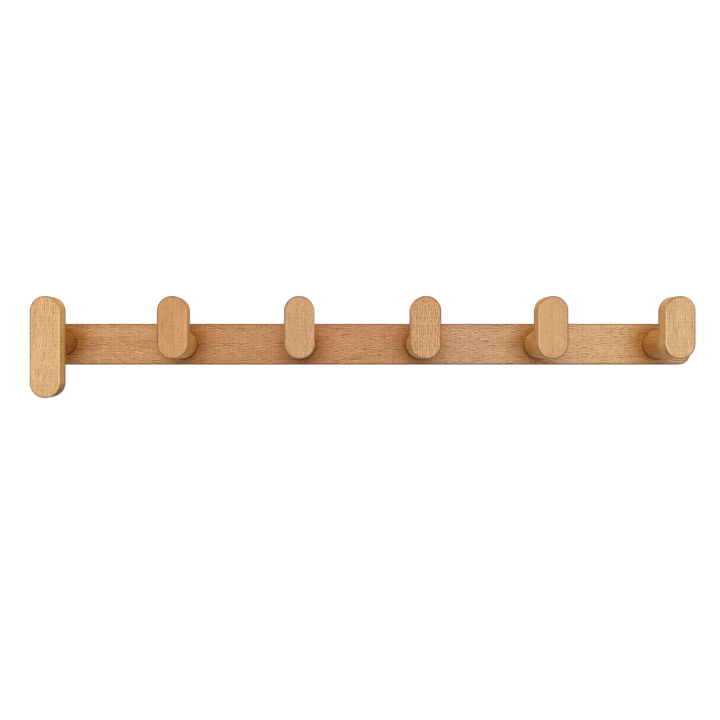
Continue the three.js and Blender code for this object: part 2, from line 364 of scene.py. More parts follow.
def turned(name, profile, centre, steps, shades=None):
    """A body turned about an axis along Y. The profile is a list of (radius, y)."""
    rings = [at(circle(radius, steps), centre.x, y, centre.z) for radius, y in profile]
    return loft(name, rings, shades)


def centre_of(node):
    low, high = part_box(node)
    return (low + high) / 2


# Grain ---------------------------------------------------------------------------------


def fill_attribute(mesh, name, kind, field, values):
    mesh.attributes.new(name, kind, "POINT").data.foreach_set(field, values)


def add_grain(piece, along, across, seed, pith, tint=(1.0, 1.0, 1.0), bold=1.0):
    """Gives every point its place in the tree, in millimetres: along the trunk, and two ways
    across it, counted from the pith. Each piece comes from its own place, a little askew.
    tint is the piece's own colour, with painted shade in it for the posts, and bold how strongly
    its figure shows."""
    draw = random.Random(seed)
    through = along.cross(across)
    lean = [draw.uniform(-most, most) for most in LEAN]
    spread = [draw.uniform(-most, most) for most in TREE_SPREAD]
    start = Vector((spread[0], spread[1], pith + spread[2]))
    corners = [Vector(corner) for corner in piece.bound_box]
    centre = (corners[0] + corners[6]) / 2  # these two are opposite corners
    mesh = piece.data
    values = []
    for vert in mesh.vertices:
        p = (vert.co - centre) / MM
        trunk = p.dot(along)
        values.extend((
            start.x + trunk,
            start.y + p.dot(across) + trunk * lean[0],
            start.z + p.dot(through) + trunk * lean[1],
        ))
    count = len(mesh.vertices)
    fill_attribute(mesh, "grain", "FLOAT_VECTOR", "vector", values)
    fill_attribute(mesh, "tint", "FLOAT_VECTOR", "vector", list(tint) * count)
    fill_attribute(mesh, "bold", "FLOAT", "value", [bold] * count)


# Node trees ----------------------------------------------------------------------------


class Tree:
    """A material's node tree, with one short call for each node."""

    def __init__(self, name):
        self.material = bpy.data.materials.new(name)
        self.material.use_nodes = True
        self.tree = self.material.node_tree
        self.tree.nodes.clear()

    def feed(self, socket, value):
        """Links the socket to another one, or sets it to a plain value."""
        if isinstance(value, bpy.types.NodeSocket):
            self.tree.links.new(value, socket)
        else:
            socket.default_value = value

    def node(self, kind, inputs=None, **settings):
        """A node with its inputs linked or set, and its own settings."""
        node = self.tree.nodes.new(kind)
        for key, value in settings.items():
            setattr(node, key, value)
        for key, value in (inputs or {}).items():
            self.feed(node.inputs[key], value)
        return node

    def maths(self, operation, a, b=0.0, clamp=False):
        node = self.node("ShaderNodeMath", {0: a, 1: b}, operation=operation, use_clamp=clamp)
        return node.outputs[0]

    def plus(self, a, b, clamp=False):
        return self.maths("ADD", a, b, clamp)

    def minus(self, a, b, clamp=False):
        return self.maths("SUBTRACT", a, b, clamp)

    def times(self, a, b, clamp=False):
        return self.maths("MULTIPLY", a, b, clamp)

    def swing(self, noise, strength):
        """A noise's value, moved so that it swings evenly round 0, at this strength."""
        return self.times(self.minus(noise, 0.5), strength)

    def vector(self, operation, a, b=(0.0, 0.0, 0.0), output="Vector"):
        node = self.node("ShaderNodeVectorMath", {0: a, 1: b}, operation=operation)
        return node.outputs[output]

    def scaled(self, vector, along, across, through):
        return self.vector("MULTIPLY", vector, (along, across, through))

    def length(self, vector):
        return self.vector("LENGTH", vector, output="Value")

    def facing(self, direction):
        """1 where the surface faces this way, 0 where it is side on, and -1 on its far side."""
        normal = self.node("ShaderNodeNewGeometry").outputs["Normal"]
        return self.vector("DOT_PRODUCT", normal, tuple(direction), "Value")

    def parts(self, vector):
        return tuple(self.node("ShaderNodeSeparateXYZ", {0: vector}).outputs)

    def joined(self, x, y, z):
        return self.node("ShaderNodeCombineXYZ", {0: x, 1: y, 2: z}).outputs[0]

    def object_place(self):
        return self.node("ShaderNodeTexCoord").outputs["Object"]

    def ramp(self, value, low, high, to_low=0.0, to_high=1.0):
        """value's stretch from low to high, smoothed, as to_low to to_high."""
        return self.node("ShaderNodeMapRange", {
            "Value": value, "From Min": low, "From Max": high, "To Min": to_low, "To Max": to_high,
        }, interpolation_type="SMOOTHSTEP").outputs["Result"]

    def noise(self, vector, detail, roughness=0.5):
        return self.node("ShaderNodeTexNoise", {
            "Vector": vector, "Scale": 1.0, "Detail": detail, "Roughness": roughness,
        }).outputs["Fac"]

    def mix(self, factor, a, b, blend="MIX"):
        node = self.node("ShaderNodeMix", data_type="RGBA", blend_type=blend)
        sockets = {socket.identifier: socket for socket in node.inputs}
        self.feed(sockets["Factor_Float"], factor)
        self.feed(sockets["A_Color"], a)
        self.feed(sockets["B_Color"], b)
        return next(s for s in node.outputs if s.identifier == "Result_Color")

    def tinted(self, colour, tint):
        return self.mix(1.0, colour, tint, "MULTIPLY")

    def attribute(self, name, output="Vector"):
        return self.node("ShaderNodeAttribute", attribute_name=name).outputs[output]

    def finish(self, shader):
        self.node("ShaderNodeOutputMaterial", {"Surface": shader.outputs[0]})
        return self.material


# Beech ---------------------------------------------------------------------------------


def waved_grain(t, wave):
    """The place in the tree, with fibres that swing from side to side, more in some places
    than in others. wave is how far, and over what length, they swing."""
    swing, swing_length = wave
    grain = t.attribute("grain")
    along, across, through = t.parts(grain)
    ripple = t.noise(t.scaled(grain, 1 / swing_length, *RIPPLE_SIDEWAYS), detail=1.0)
    wide_ripple = t.noise(t.scaled(grain, *WIDE_RIPPLE), detail=1.0)
    shift = t.swing(ripple, RIPPLE_STRENGTH * swing)
    wide_shift = t.swing(wide_ripple, WIDE_RIPPLE_STRENGTH * swing)
    return t.joined(along, t.plus(across, t.plus(shift, wide_shift)), through)


def late_wood(t, wavy):
    """Year rings round the pith: 1 where a year's growth ends, and 0 where one begins."""
    _, across, through = t.parts(wavy)
    radius = t.length(t.joined(0.0, across, through))
    year = t.maths("FRACT", t.times(radius, YEARS))
    full = LATE_WOOD_START_FULL[1]
    return t.times(t.ramp(year, *LATE_WOOD_START_FULL), t.ramp(year, full, 1.0, 1.0, 0.0))


def figure_lines(t, wavy, length, spacing, swing):
    """The figure's wavy lines, pale at 1 and dark at -1, which come and go along the grain."""
    _, across, through = t.parts(wavy)
    often = WAVERS_SIDEWAYS / spacing
    wavers = t.noise(t.scaled(wavy, 1 / length, often, often), detail=1.0)
    often = BREAKS_SIDEWAYS / spacing
    breaks = t.noise(t.scaled(wavy, BREAKS_ALONG / length, often, often), detail=0.0)
    turns = t.plus(t.maths("DIVIDE", across, spacing), t.maths("DIVIDE", through, spacing))
    turns = t.plus(turns, t.times(wavers, swing))
    line = t.maths("SINE", t.times(turns, 2 * math.pi))
    return t.times(line, t.ramp(breaks, *BREAK_END_FULL, BREAK_FAINT, 1.0))


def wood_tone(t, wavy, tones, streaks, fibres, shown_line):
    """The wood's colour from broad clouds, streaks, fibres, the figure and the year rings."""
    dark, middle, pale = tones
    clouds = t.noise(t.scaled(wavy, *CLOUDS), detail=2.0)
    tone = t.swing(clouds, CLOUD_STRENGTH)
    tone = t.plus(tone, t.swing(streaks, STREAK_STRENGTH))
    tone = t.plus(tone, t.swing(fibres, FIBRE_STRENGTH))
    tone = t.plus(tone, shown_line)
    tone = t.minus(tone, t.times(late_wood(t, wavy), YEAR_STRENGTH))
    tone = t.plus(tone, MEAN_TONE, clamp=True)
    colour = t.mix(t.ramp(tone, 0.0, 0.5), (*dark, 1), (*middle, 1))
    return t.mix(t.ramp(tone, 0.5, 1.0), colour, (*pale, 1))


def rays(t, wavy, line, bold, dash):
    """Where the dark and the pale rays are. They are short thin dashes along the grain: dark
    ones, closest in the figure's dark lines, and between them pale ones that catch the light."""
    length, width = dash
    place = t.scaled(wavy, 1 / length, 1 / width, 1 / (RAY_DEPTH * width))
    cells = t.node("ShaderNodeTexVoronoi", {"Vector": place, "Scale": 1.0})
    shape = t.times(t.ramp(cells.outputs["Distance"], *RAY_FULL_END, 1.0, 0.0), bold)
    chance = t.node("ShaderNodeSeparateColor", {0: cells.outputs["Color"]}).outputs[0]
    chance = t.minus(chance, t.times(line, RAY_PULL))
    dark_rays = t.times(shape, t.ramp(chance, *DARK_RAY_START_FULL))
    pale_rays = t.times(shape, t.ramp(chance, *PALE_RAY_FULL_END, 1.0, 0.0))
    return dark_rays, pale_rays


def with_wear_and_painted_light(t, colour, front, dark, edge_shade, side_shade_tone):
    """Gives the sides a deeper colour than the faces, a painted shade as they get less light; darkens
    the edges, partly for wear and partly as painted shade; and gives a painted highlight to the
    edges that catch the light."""
    sideways = t.ramp(t.maths("ABSOLUTE", front), *SIDE_FACING, 1.0, 0.0)
    colour = t.mix(sideways, colour, t.tinted(colour, (*side_shade_tone, 1)))
    edge = t.attribute("edge", "Fac")
    worn_and_shaded = tuple(c * share for c, share in zip(dark, WORN_AND_SHADED_SHARES))
    colour = t.mix(t.times(edge, edge_shade, clamp=True), colour, (*worn_and_shaded, 1))
    gleam = t.times(edge, -1.0, clamp=True)
    return t.mix(t.times(gleam, t.ramp(front, *GLEAM_FACING)), colour, GLEAM_TONE)


def gap_to(t, position, rounds):
    """How far a point lies from the nearest round. The rounds are (x, z, radius) in metres,
    and run along Y."""
    nearest = None
    for x, z, radius in rounds:
        offset = t.scaled(t.vector("SUBTRACT", position, (x, 0, z)), 1, 0, 1)
        gap = t.minus(t.length(offset), radius)
        nearest = gap if nearest is None else t.maths("MINIMUM", nearest, gap)
    return nearest


def with_painted_shade_round_posts(t, colour, front, rounds):
    """Painted shade round each post on the board's front, and a painted contact shadow, a thin dark
    line, at its foot.
    """
    place = t.object_place()
    on_front = t.ramp(front, *FRONT_FACING)
    drawn_in = [(x * (1 - PAINTED_SHADE_SHIFT), z, radius) for x, z, radius in rounds]
    far = t.maths("DIVIDE", gap_to(t, place, drawn_in), PAINTED_SHADE_REACH)
    painted_shade = t.minus(1.0, far, clamp=True)
    painted_shade = t.times(t.times(painted_shade, painted_shade), on_front)
    colour = t.mix(painted_shade, colour, t.tinted(colour, (*PAINTED_SHADE_TONE, 1)))
    height = t.parts(place)[2]
    contact_shadow = t.ramp(gap_to(t, place, rounds), 0.0, CONTACT_SHADOW_WIDTH, 1.0, 0.0)
    contact_shadow = t.times(contact_shadow, on_front)
    contact_shadow = t.times(contact_shadow, t.ramp(height, *CONTACT_SHADOW_HEIGHTS, 1.0, CONTACT_SHADOW_ABOVE))
    return t.mix(contact_shadow, colour, (*CONTACT_SHADOW_TONE, 1))


def with_drift(t, colour, drift):
    """Tints a long piece along its length, from stop to stop."""
    low, high = drift[0][0], drift[-1][0]
    share = t.node("ShaderNodeMapRange", {
        "Value": t.parts(t.object_place())[0], "From Min": low, "From Max": high,
    }).outputs["Result"]
    tints = t.node("ShaderNodeValToRGB", {0: share})
    stops = tints.color_ramp.elements
    while len(stops) < len(drift):
        stops.new(0.5)
    for stop, (where, *rgb) in zip(stops, drift):
        stop.position = (where - low) / (high - low)
        stop.color = (*rgb, 1)
    return t.tinted(colour, tints.outputs["Color"])


def beech(name, axis, tones, dash, dash_strength, figure, wave, edge_shade,
          side_shade_tone=(1.0, 1.0, 1.0), drift=None, rounds=()):
    """Oiled beech. axis is the grain's direction in the row frame, and tones are the wood's
    dark, middle and pale colours. dash is a ray's (length, width) in millimetres, and figure is
    (length, spacing, strength, swing) of the wavy lines that the rays follow. wave is how far,
    and over what length, the fibres swing. The side tone tints the faces that look sideways, as a
    painted shade. drift is a list of (x in metres, red, green, blue) that tints a long piece along
    its length, and rounds lists what stands on the piece, with painted shade and a painted contact
    shadow round it."""
    t = Tree(name)
    dark, _, pale = tones
    length, spacing, strength, swing = figure
    wavy = waved_grain(t, wave)
    streaks = t.noise(t.scaled(wavy, *STREAKS), detail=2.0, roughness=0.6)
    fibres = t.noise(t.scaled(wavy, *FIBRES), detail=2.0, roughness=0.6)
    pores = t.ramp(t.noise(t.scaled(wavy, *PORES), detail=0.0), *PORE_START_FULL)
    bold = t.attribute("bold", "Fac")
    line = figure_lines(t, wavy, length, spacing, swing)
    shown_line = t.times(t.times(line, bold), strength)
    dark_rays, pale_rays = rays(t, wavy, line, bold, dash)
    front = t.facing(-Y)
    end_grain = t.ramp(t.maths("ABSOLUTE", t.facing(axis)), *END_GRAIN_FACING)

    colour = wood_tone(t, wavy, tones, streaks, fibres, shown_line)
    colour = t.mix(t.times(pale_rays, PALE_RAY_SHARE * dash_strength), colour, (*pale, 1))
    colour = t.mix(t.times(dark_rays, dash_strength), colour, (*dark, 1))
    colour = t.mix(t.times(pores, PORE_STRENGTH), colour, (*dark, 1))
    colour = t.mix(t.times(end_grain, END_GRAIN_STRENGTH), colour, (*dark, 1))
    # Painted shade on the sides, wear and painted shade on the edges, and a painted highlight where
    # they catch the light.
    colour = with_wear_and_painted_light(t, colour, front, dark, edge_shade, side_shade_tone)
    # Painted shade and a painted contact shadow on the board round each post.
    if rounds:
        colour = with_painted_shade_round_posts(t, colour, front, rounds)
    colour = t.tinted(colour, t.attribute("tint"))
    if drift:
        colour = with_drift(t, colour, drift)

    rough = t.plus(WOOD_ROUGHNESS, t.times(pores, PORE_ROUGHNESS))
    rough = t.plus(t.swing(streaks, STREAK_ROUGHNESS), rough)
    height = t.plus(t.times(fibres, FIBRE_RELIEF), t.times(line, LINE_RELIEF))
    height = t.minus(height, t.times(pores, PORE_RELIEF))
    height = t.minus(height, t.times(dark_rays, RAY_RELIEF))
    bump = t.node("ShaderNodeBump", {
        "Strength": RELIEF_STRENGTH, "Distance": RELIEF_DEPTH, "Height": height,
    })
    return t.finish(t.node("ShaderNodeBsdfPrincipled", {
        "Base Color": colour,
        "Roughness": rough,
        "IOR": 1.45,
        "Specular IOR Level": 0.12,
        "Normal": bump.outputs["Normal"],
    }))


def post_rounds():
    """Where the posts stand on the board: (x, z, radius)."""
    rounds = []
    for i in HOOKS:
        low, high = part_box(f"hook_{i}_post")
        centre = (low + high) / 2
        rounds.append((centre.x, centre.z, (high.x - low.x) / 2))
    return rounds


BOARD_BEECH = beech(
    "board_beech", X, [(0.40, 0.16, 0.055), (0.70, 0.41, 0.19), (0.90, 0.61, 0.34)],
    dash=(5.0, 0.85), dash_strength=0.75, figure=(9.0, 2.2, 0.34, 2.5), wave=(0.35, 9.0),
    edge_shade=0.7, side_shade_tone=(1.0, 0.94, 0.82), rounds=post_rounds(), drift=[
        (-0.35, 0.93, 0.86, 0.77),
        (-0.25, 0.91, 0.82, 0.72),
        (-0.13, 0.81, 0.66, 0.57),
        (0.01, 0.84, 0.69, 0.65),
        (0.13, 0.89, 0.83, 0.85),
        (0.26, 1.00, 1.00, 1.00),
        (0.35, 1.00, 0.97, 0.91),
    ],
)
PLATE_BEECH = beech(
    "plate_beech", Z, [(0.42, 0.175, 0.058), (0.72, 0.41, 0.185), (0.92, 0.62, 0.34)],
    dash=(4.0, 0.8), dash_strength=0.7, figure=(6.0, 2.2, 0.24, 1.9), wave=(0.2, 8.0),
    edge_shade=0.95, side_shade_tone=(0.95, 0.82, 0.51),
)
# The posts' tones are deeper and more orange than the plates', a painted shade for the dimmer light
# round the posts.
POST_BEECH = beech(
    "post_beech", Y, [(0.34, 0.12, 0.022), (0.60, 0.30, 0.080), (0.78, 0.45, 0.16)],
    dash=(7.0, 0.8), dash_strength=0.6, figure=(14.0, 2.4, 0.24, 1.6), wave=(0.2, 12.0),
    edge_shade=0.95,
)
DOWEL_BEECH = beech(
    "dowel_beech", Y, [(0.42, 0.23, 0.09), (0.68, 0.45, 0.24), (0.84, 0.62, 0.38)],
    dash=(3.2, 0.62), dash_strength=0.4, figure=(9.0, 2.0, 0.12, 2.0), wave=(0.2, 9.0),
    edge_shade=0.3,
)


# Steel ---------------------------------------------------------------------------------


def steel(name, colour, stain, roughness):
    """Plated steel: faintly mottled, with fine rolling lines and a little wear."""
    t = Tree(name)
    place = t.scaled(t.object_place(), 1 / MM, 1 / MM, 1 / MM)
    mottle = t.noise(t.scaled(place, *MOTTLE), detail=3.0)
    lines = t.noise(t.scaled(place, *ROLLING_LINES), detail=2.0)
    speck = t.ramp(t.noise(t.scaled(place, *SPECKS), detail=1.0), *SPECK_START_FULL)
    tone = t.plus(t.times(mottle, MOTTLE_SHARE), t.times(lines, 1 - MOTTLE_SHARE))
    shade = t.mix(t.ramp(tone, *STAIN_END_START), (*stain, 1), (*colour, 1))
    shade = t.mix(t.times(speck, SPECK_STRENGTH), shade, (*stain, 1))
    rough = t.plus(roughness - TONE_ROUGHNESS / 2, t.times(tone, TONE_ROUGHNESS))
    rough = t.plus(rough, t.times(speck, SPECK_ROUGHNESS))
    bump = t.node("ShaderNodeBump", {
        "Strength": ROLLING_STRENGTH, "Distance": ROLLING_DEPTH, "Height": lines,
    })
    return t.finish(t.node("ShaderNodeBsdfPrincipled", {
        "Base Color": shade,
        "Metallic": 1.0,
        "Roughness": rough,
        "Normal": bump.outputs["Normal"],
    }))


ZINC_STEEL = steel("zinc_steel", (0.50, 0.51, 0.53), (0.40, 0.41, 0.43), 0.38)
YELLOW_STEEL = steel("yellow_zinc_steel", (0.66, 0.50, 0.22), (0.50, 0.37, 0.17), 0.34)


def dress(piece, material, node):
    """Gives the piece its material, attaches it to the root body and hides the CAD part that it
    stands for.
    """
    piece.data.materials.clear()
    piece.data.materials.append(material)
    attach(piece, "root")
    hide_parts(node)


# Screws --------------------------------------------------------------------------------


def thread_rings(centre, tip, start, facts):
    """Rings round a screw's thread, from its tip to where the plain shank starts. The ridge
    climbs one pitch in a turn."""
    root, pitch = facts["root"] / 2 * MM, facts["pitch"] * MM
    tip_start = tip + facts["tip"] * MM
    count = int((start - tip) / pitch * THREAD_ROWS)

    def reach(y, angle):
        core, height = root, min(1.0, (start - y) / pitch)
        if y < tip_start:
            share = (y - tip) / (tip_start - tip)
            core = max(TIP_BLUNTNESS * root, root * share)
            height *= max(0.0, min(1.0, share * TIP_THREAD_RISE))
        phase = (y / pitch + angle / (2 * math.pi)) % 1.0
        ridge = max(0.0, 1.0 - abs(phase - 0.5) * THREAD_SHARPNESS)
        return core + root * (THREAD_CREST - 1) * ridge * max(0.0, height)

    rings = []
    for row in range(count + 1):
        y = tip + (start - tip) * row / count
        outline = []
        for i in range(SCREW_STEPS):
            angle = 2 * math.pi * i / SCREW_STEPS
            radius = reach(y, angle)
            outline.append((radius * math.cos(angle), radius * math.sin(angle)))
        rings.append(at(outline, centre.x, y, centre.z))
    return rings


def cross_recess(centre, top, facts):
    """Cutters for a cross recess: two slots that taper down to a smaller foot."""
    length, width, depth = (facts[key] * MM for key in ("recess", "slot", "recess_depth"))
    cutters = []
    for along, across in ((1, 0), (0, 1)):
        wide = (length * along + width * across) / 2
        tall = (length * across + width * along) / 2
        mouth = [(-wide, -tall), (wide, -tall), (wide, tall), (-wide, tall)]
        shrink_x = RECESS_TAPER if along else SLOT_TAPER
        shrink_z = RECESS_TAPER if across else SLOT_TAPER
        foot = [(px * shrink_x, pz * shrink_z) for px, pz in mouth]
        cutters.append(loft("recess", [
            at(foot, centre.x, top - depth, centre.z),
            at(mouth, centre.x, top + HEAD_EDGE, centre.z),
        ]))
    return cutters


def screw_piece(node, kind):
    """A countersunk wood screw with a helical thread and a cross recess."""
    facts = SCREWS[kind]
    low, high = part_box(node)
    centre = centre_of(node)
    head = (high.x - low.x) / 2
    root = facts["root"] / 2 * MM
    rim_end = high.y - facts["head_rim"] * MM
    cone_end = rim_end - (head - root)
    rings = thread_rings(centre, low.y, cone_end - facts["shank"] * MM, facts)
    profile = [
        (root, cone_end), (head, rim_end), (head, high.y - HEAD_EDGE), (head - HEAD_EDGE, high.y),
    ]
    rings += [at(circle(radius, SCREW_STEPS), centre.x, y, centre.z) for radius, y in profile]
    piece = loft(node + "_fine", rings)
    cut(piece, cross_recess(centre, high.y, facts))
    smooth(piece)
    dress(piece, YELLOW_STEEL, node)


def shank_hole_radius(kind):
    """The radius of the hole for a screw's threaded shank."""
    return SCREWS[kind]["root"] / 2 * MM * THREAD_CREST + THREAD_ROOM


def screw_hole(node, kind, start):
    """A cutter for a screw's hole: its shank from y = start, and its cone."""
    low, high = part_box(node)
    head = (high.x - low.x) / 2 + CLEARANCE
    shank = shank_hole_radius(kind)
    rim_end = high.y - SCREWS[kind]["head_rim"] * MM
    profile = [
        (shank, start), (shank, rim_end - (head - shank)), (head, rim_end),
        (head, CAD_HIGH.y + CUT_PAST),
    ]
    return turned("hole", profile, centre_of(node), HOLE_STEPS)


# Wooden pieces -------------------------------------------------------------------------


def board_piece(tint, bold):
    """The board, with round corners and edges, and with all that is cut into its back."""
    low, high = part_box("board")
    length, height = high.x - low.x, high.z - low.z
    centre = (low + high) / 2
    round_over = [(i * BOARD_EDGE, d * BOARD_EDGE) for i, d in quarter(EDGE_STEPS)]
    edge_shades = [BOARD_FACE_SHADE] + [BOARD_EDGE_SHADE] * (EDGE_STEPS - 1) + [BOARD_SIDE_SHADE]

    def ring(inset, y):
        return at(rounded_rectangle(length, height, BOARD_CORNER, inset), centre.x, y, centre.z)

    rings = [ring(BOARD_EDGE + BOARD_EDGE_FADE, high.y)]
    rings += [ring(inset, high.y - depth) for inset, depth in round_over]
    rings += [ring(inset, low.y + depth) for inset, depth in reversed(round_over)]
    rings.append(ring(BOARD_EDGE + BOARD_EDGE_FADE, low.y))
    piece = loft("board_fine", rings, [0.0, *edge_shades, *reversed(edge_shades), 0.0])
    cutters = [screw_hole(f"hook_{i}_screw", "hook", low.y - CUT_PAST) for i in HOOKS]
    for side in SIDES:
        cutters += hanger_cutters(side, high.y)
    cut(piece, cutters)
    smooth(piece)
    add_grain(piece, X, Z, BOARD_SEED, BOARD_PITH, tint, bold)
    dress(piece, BOARD_BEECH, "board")


def hanger_cutters(side, back):
    """What is routed and drilled out of the board's back for one hanger."""
    low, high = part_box(f"{side}_hanger_plate")
    centre = (low + high) / 2
    over = back + CUT_PAST
    length = high.x - low.x + 2 * CLEARANCE
    height = high.z - low.z + 2 * CLEARANCE
    outline = rounded_rectangle(length, height, height / 2 - ARC_GAP)
    recess = loft("recess", [at(outline, centre.x, y, centre.z) for y in (low.y, over)])
    width = KEYHOLE_ENTRY + 2 * KEYHOLE_ROOM
    bottom, top = -KEYHOLE_DROP - width / 2, KEYHOLE_RISE + width / 2
    slot = upright_stadium(width, bottom, top, KEYHOLE_STEPS)
    pocket = loft("pocket", [at(slot, centre.x, y, centre.z) for y in (back - KEYHOLE_DEPTH, over)])
    cutters = [recess, pocket]
    radius = shank_hole_radius("hanger")
    for number in HANGER_SCREWS:
        node = f"{side}_hanger_screw_{number}"
        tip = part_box(node)[0].y
        profile = [(radius, tip - PILOT_SPARE), (radius, over)]
        cutters.append(turned("pilot", profile, centre_of(node), PILOT_STEPS))
    return cutters


def plate_edge_shades(outward, x, long):
    """The shades of a plate's front edge, of the same edge with the painted shade of a dark line
    under the plate, and of the plate's side, which on the long plate has painted shade low down.
    outward is which way each point of its outline faces. The front edge has a painted highlight on
    the side towards the rack's middle, and more the further out the plate is."""
    gleam = PLATE_FRONT_GLEAM * min(1.0, abs(x) / GLEAM_FULL)
    front, under, side = [], [], []
    for nx, nz in outward:
        inward = abs(nx) * (1 - max(0.0, nz)) if nx * x < 0 else 0.0
        below = math.sqrt(max(0.0, -nz))
        front.append(PLATE_FRONT_SHADE * (1 - inward) - gleam * inward ** GLEAM_FOCUS)
        under.append(max(front[-1], PLATE_UNDER_SHADE * below))
        side.append(LONG_PLATE_UNDER_SHADE * below if long else 0.0)
    return front, under, side


def plate_piece(i, tint, bold):
    """A plate with rounded edges. Its back edge is left nearly square where the post meets it."""
    low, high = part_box(f"hook_{i}_plate")
    post_low, post_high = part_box(f"hook_{i}_post")
    dowel_low, dowel_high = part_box(f"hook_{i}_dowel")
    back, front = high.y, low.y
    x = (low.x + high.x) / 2
    radius = (high.x - low.x) / 2
    post_z = (post_low.z + post_high.z) / 2
    post_radius = (post_high.z - post_low.z) / 2
    hole = (dowel_high.x - dowel_low.x) / 2 + CLEARANCE

    outline = upright_stadium(2 * radius, low.z, high.z)
    # For each point: the height of the plate's middle line beside it, which way the point faces,
    # how free of the post it is, and how much is eased off its back edge.
    middle = [min(max(pz, low.z + radius), high.z - radius) for _, pz in outline]
    outward = [(px / radius, (pz - mz) / radius) for (px, pz), mz in zip(outline, middle)]
    gaps = [math.hypot(px, pz - post_z) - post_radius for px, pz in outline]
    free = [smooth_step((gap - SEAM_MARGIN) / SEAM_GROWTH) for gap in gaps]
    eased = [SEAM + (PLATE_BACK_EDGE - SEAM) * share for share in free]

    def ring(insets, depths):
        """The outline, each point drawn in towards the middle line by its own inset, and put
        its own depth in front of the plate's back."""
        points = []
        for (nx, nz), mz, inset, depth in zip(outward, middle, insets, depths):
            reach = radius - inset
            points.append((x + nx * reach, back - depth, mz + nz * reach))
        return points

    def even_ring(inset, y):
        return ring([inset] * len(outline), [back - y] * len(outline))

    def hole_ring(y):
        points = []
        for px, pz in outline:
            share = hole / math.hypot(px, pz - post_z)
            points.append((x + px * share, y, post_z + (pz - post_z) * share))
        return points

    back_shades = [PLATE_BACK_SHADE * share for share in free]
    front_shades, under_shades, side_shades = plate_edge_shades(outward, x, i == LONG_HOOK)
    rows = [
        (hole_ring(dowel_low.y - CLEARANCE), 0.0),
        (hole_ring(back), 0.0),
        (ring([e + PLATE_EDGE_FADE for e in eased], [0.0] * len(outline)), 0.0),
    ]
    for inset, depth in quarter(EDGE_STEPS):
        rows.append((ring([inset * e for e in eased], [depth * e for e in eased]), back_shades))
    for y in (back - PLATE_BACK_FADE, front + PLATE_EDGE + PLATE_UNDER_FADE):
        rows.append((even_ring(0.0, y), side_shades))
    for number, (inset, depth) in enumerate(reversed(quarter(EDGE_STEPS))):
        edge_shades = under_shades if number < PLATE_UNDER_RINGS else front_shades
        rows.append((even_ring(inset * PLATE_EDGE, front + depth * PLATE_EDGE), edge_shades))
    rows.append((even_ring(PLATE_EDGE + PLATE_EDGE_FADE, front), 0.0))
    rings, shades = zip(*rows)
    piece = loft(f"hook_{i}_plate_fine", rings, shades)
    smooth(piece)
    add_grain(piece, Z, X, PLATE_SEED + i, PLATE_PITH, tint, bold)
    dress(piece, PLATE_BEECH, f"hook_{i}_plate")


def post_piece(i, tint):
    """A round post, open at both ends for its dowel and its screw."""
    low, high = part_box(f"hook_{i}_post")
    dowel_low, dowel_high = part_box(f"hook_{i}_dowel")
    screw_low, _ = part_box(f"hook_{i}_screw")
    centre = (low + high) / 2
    radius = (high.x - low.x) / 2
    dowel_hole = (dowel_high.x - dowel_low.x) / 2 + CLEARANCE
    screw_radius = shank_hole_radius("hook")
    round_over = quarter(EDGE_STEPS)
    profile = [(dowel_hole, dowel_high.y + CLEARANCE), (dowel_hole, low.y)]
    profile += [(radius - inset * SEAM, low.y + depth * SEAM) for inset, depth in round_over]
    profile.append((radius, high.y - POST_SUPPORT))
    plain = [0.0] * (len(profile) + 1)
    profile += [(radius - inset * POST_FOOT, high.y - depth * POST_FOOT)
                for inset, depth in reversed(round_over)]
    profile += [(screw_radius, high.y), (screw_radius, screw_low.y - CLEARANCE)]
    # The foot's rounding carries the painted contact shadow.
    shades = plain + [POST_FOOT_PAINTED_SHADOW] * EDGE_STEPS + [0.0, 0.0]
    piece = turned(f"hook_{i}_post_fine", profile, centre, TURNED_STEPS, shades)
    smooth(piece)
    add_grain(piece, Y, X, POST_SEED + i, ROUND_WOOD_PITH, tint)
    dress(piece, POST_BEECH, f"hook_{i}_post")


def dowel_piece(i):
    """A dowel pin, fluted along its sides and chamfered at its ends."""
    low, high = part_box(f"hook_{i}_dowel")
    centre = (low + high) / 2
    radius = (high.x - low.x) / 2
    steps = DOWEL_FLUTES * FLUTE_STEPS

    def ring(y, inset, flute):
        points = []
        for k in range(steps):
            angle = 2 * math.pi * k / steps
            dip = flute * max(0.0, math.cos(DOWEL_FLUTES * angle)) ** 2
            reach = radius - inset - dip
            points.append((centre.x + reach * math.cos(angle), y, centre.z + reach * math.sin(angle)))
        return points

    rings = [
        ring(low.y, DOWEL_CHAMFER, 0.0),
        ring(low.y + DOWEL_CHAMFER, 0.0, DOWEL_FLUTE_DEPTH),
        ring(high.y - DOWEL_CHAMFER, 0.0, DOWEL_FLUTE_DEPTH),
        ring(high.y, DOWEL_CHAMFER, 0.0),
    ]
    piece = loft(f"hook_{i}_dowel_fine", rings)
    smooth(piece)
    add_grain(piece, Y, X, DOWEL_SEED + i, ROUND_WOOD_PITH)
    dress(piece, DOWEL_BEECH, f"hook_{i}_dowel")


# Hangers -------------------------------------------------------------------------------


def keyhole_outline():
    """Points (x, z): a round entry with a slot that rises from it."""
    entry, slot = KEYHOLE_ENTRY / 2, KEYHOLE_SLOT / 2
    meet = math.acos(slot / entry)
    points = []
    for i in range(KEYHOLE_STEPS + 1):
        angle = math.pi * i / KEYHOLE_STEPS
        points.append((slot * math.cos(angle), KEYHOLE_RISE + slot * math.sin(angle)))
    start, sweep = math.pi - meet, math.pi + 2 * meet
    for i in range(2 * KEYHOLE_STEPS + 1):
        angle = start + sweep * i / (2 * KEYHOLE_STEPS)
        points.append((entry * math.cos(angle), -KEYHOLE_DROP + entry * math.sin(angle)))
    return points


